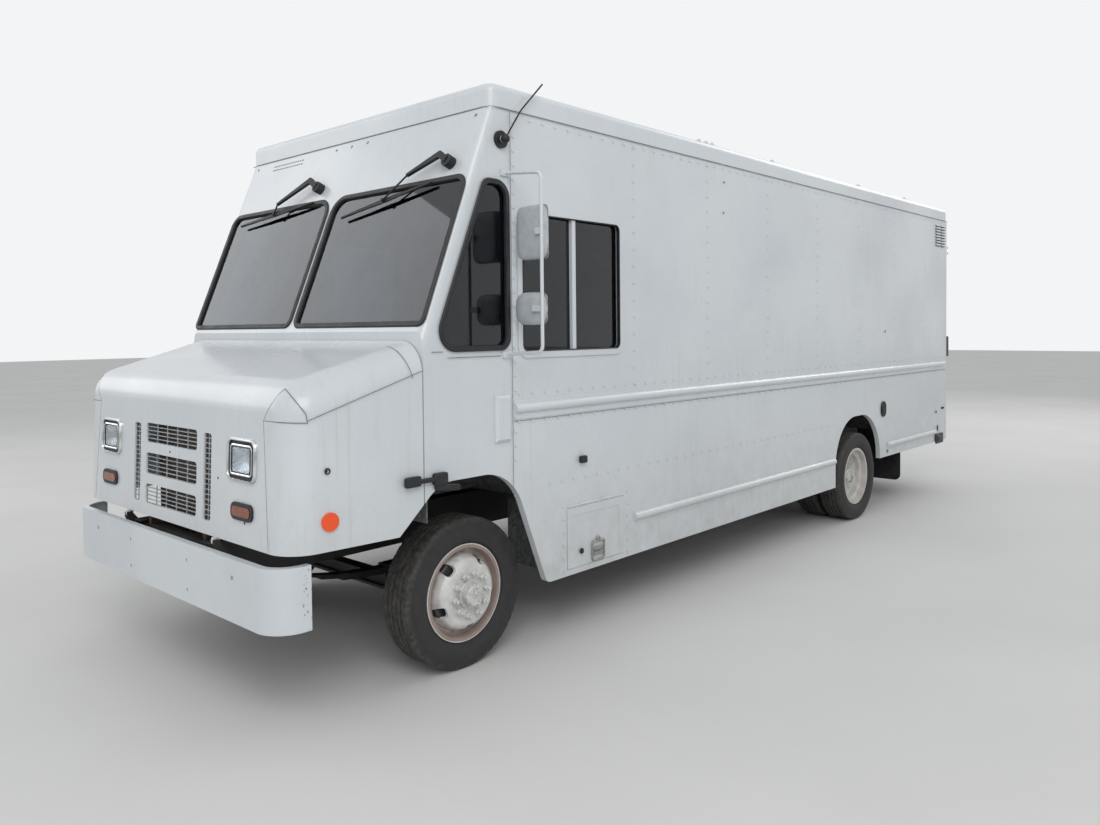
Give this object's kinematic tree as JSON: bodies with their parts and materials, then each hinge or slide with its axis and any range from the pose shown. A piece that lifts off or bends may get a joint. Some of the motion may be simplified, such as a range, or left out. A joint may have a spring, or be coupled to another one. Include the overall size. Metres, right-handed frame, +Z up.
{
  "type": "step van",
  "caption": "Walk-in delivery step van on a truck chassis, with a tilting hood, a sliding side door, twin rear doors, an access door, steered front wheels and twin rear wheels.",
  "frame": {"origin": "bottom centre of the bounding box, on the ground under the middle of the overall length", "axes": "+Z up, -Y towards the front of the vehicle, +X towards its left-hand (driver) side"},
  "size_m": [2.943, 8.42, 3.1382],
  "materials": {
    "body_paint": "semi-gloss white paint",
    "wheel_paint": "worn white paint",
    "black_chassis": "matte black paint",
    "cast_iron": "oily dark",
    "tyre": "matte",
    "rubber": "matte",
    "chrome": "polished",
    "lamp_glass": "clear",
    "amber_lens": "gloss",
    "red_lens": "gloss",
    "tinted_glass": "tinted",
    "floor_metal": "dull",
    "black_plastic": "matte",
    "grey_plastic": "matte",
    "seat_vinyl": "satin vinyl"
  },
  "bodies": {
    "chassis": {"antenna": "black_plastic", "body_side_left": "body_paint", "body_side_right": "body_paint", "cab_front": "body_paint", "cab_glass": "tinted_glass", "chassis_frame": "black_chassis", "dashboard": "grey_plastic", "door_stops": "rubber", "engine_cover": "grey_plastic", "floor": "floor_metal", "front_axle": "black_chassis", "front_bumper": "body_paint", "fuel_tank": "black_chassis", "hood_latches": "rubber", "leaf_springs": "black_chassis", "mirror_brackets": "body_paint", "mirror_heads": "black_plastic", "mud_flaps": "rubber", "powertrain": "cast_iron", "rear_axle": "black_chassis", "rear_frame": "body_paint", "roof": "body_paint", "rub_rails": "body_paint", "seat_base": "black_chassis", "seat_cushions": "seat_vinyl", "side_window_frame": "body_paint", "tail_lamps": "red_lens", "window_gaskets": "rubber", "wipers": "black_plastic"},
    "hood": {"hood_shell": "body_paint", "grille_mesh": "black_chassis", "headlamp_bezels": "chrome", "headlamp_lenses": "lamp_glass", "amber_lamps": "amber_lens", "lamp_grommets": "rubber"},
    "knuckle_left": {"knuckle_left": "cast_iron"},
    "knuckle_right": {"knuckle_right": "cast_iron"},
    "tie_rod": {"tie_rod": "black_chassis"},
    "wheel_front_left": {"front_wheel_left": "wheel_paint", "front_tyre_left": "tyre"},
    "wheel_front_right": {"front_wheel_right": "wheel_paint", "front_tyre_right": "tyre"},
    "wheels_rear_left": {"rear_wheels_left": "wheel_paint", "rear_tyres_left": "tyre"},
    "wheels_rear_right": {"rear_wheels_right": "wheel_paint", "rear_tyres_right": "tyre"},
    "sliding_door": {"sliding_door": "body_paint", "sliding_door_glass": "tinted_glass"},
    "rear_door_left": {"rear_door_left": "body_paint", "rear_door_glass_left": "tinted_glass"},
    "rear_door_right": {"rear_door_right": "body_paint", "rear_door_glass_right": "tinted_glass"},
    "access_door": {"access_door": "body_paint"}
  },
  "joints": [
    {"name": "steer_left", "type": "hinge", "parent": "chassis", "child": "knuckle_left", "pos_m": [0.83, -3.04, 0.403], "axis": [0, 0, 1], "range_deg": [-35, 35]},
    {"name": "steer_right", "type": "hinge", "parent": "chassis", "child": "knuckle_right", "pos_m": [-0.83, -3.04, 0.403], "axis": [0, 0, 1], "range_deg": [-35, 35]},
    {"name": "tie_rod_pivot", "type": "hinge", "parent": "knuckle_left", "child": "tie_rod", "pos_m": [0.83, -2.87, 0.318], "axis": [0, 0, 1], "range_deg": [-35, 35]},
    {"name": "spin_front_left", "type": "hinge", "parent": "knuckle_left", "child": "wheel_front_left", "pos_m": [0.957, -3.04, 0.403], "axis": [1, 0, 0], "continuous": true},
    {"name": "spin_front_right", "type": "hinge", "parent": "knuckle_right", "child": "wheel_front_right", "pos_m": [-0.957, -3.04, 0.403], "axis": [1, 0, 0], "continuous": true},
    {"name": "spin_rear_left", "type": "hinge", "parent": "chassis", "child": "wheels_rear_left", "pos_m": [0.94, 1.76, 0.403], "axis": [1, 0, 0], "continuous": true},
    {"name": "spin_rear_right", "type": "hinge", "parent": "chassis", "child": "wheels_rear_right", "pos_m": [-0.94, 1.76, 0.403], "axis": [1, 0, 0], "continuous": true},
    {"name": "hood_tilt", "type": "hinge", "parent": "chassis", "child": "hood", "pos_m": [0, -4.152, 0.8], "axis": [1, 0, 0], "range_deg": [0, 60]},
    {"name": "sliding_door_travel", "type": "slide", "parent": "chassis", "child": "sliding_door", "axis": [0, 1, 0], "range_m": [0, 0.8]},
    {"name": "rear_door_left_swing", "type": "hinge", "parent": "chassis", "child": "rear_door_left", "pos_m": [1.098, 4.124, 1.8], "axis": [0, 0, -1], "range_deg": [0, 120]},
    {"name": "rear_door_right_swing", "type": "hinge", "parent": "chassis", "child": "rear_door_right", "pos_m": [-1.098, 4.124, 1.8], "axis": [0, 0, 1], "range_deg": [0, 120]},
    {"name": "access_door_lift", "type": "hinge", "parent": "chassis", "child": "access_door", "pos_m": [1.204, -2.1245, 0.776], "axis": [0, -1, 0], "range_deg": [0, 90]}
  ],
  "couplings": [
    {"joint": "steer_right", "follows": "steer_left", "ratio": 1},
    {"joint": "tie_rod_pivot", "follows": "steer_left", "ratio": -1}
  ]
}
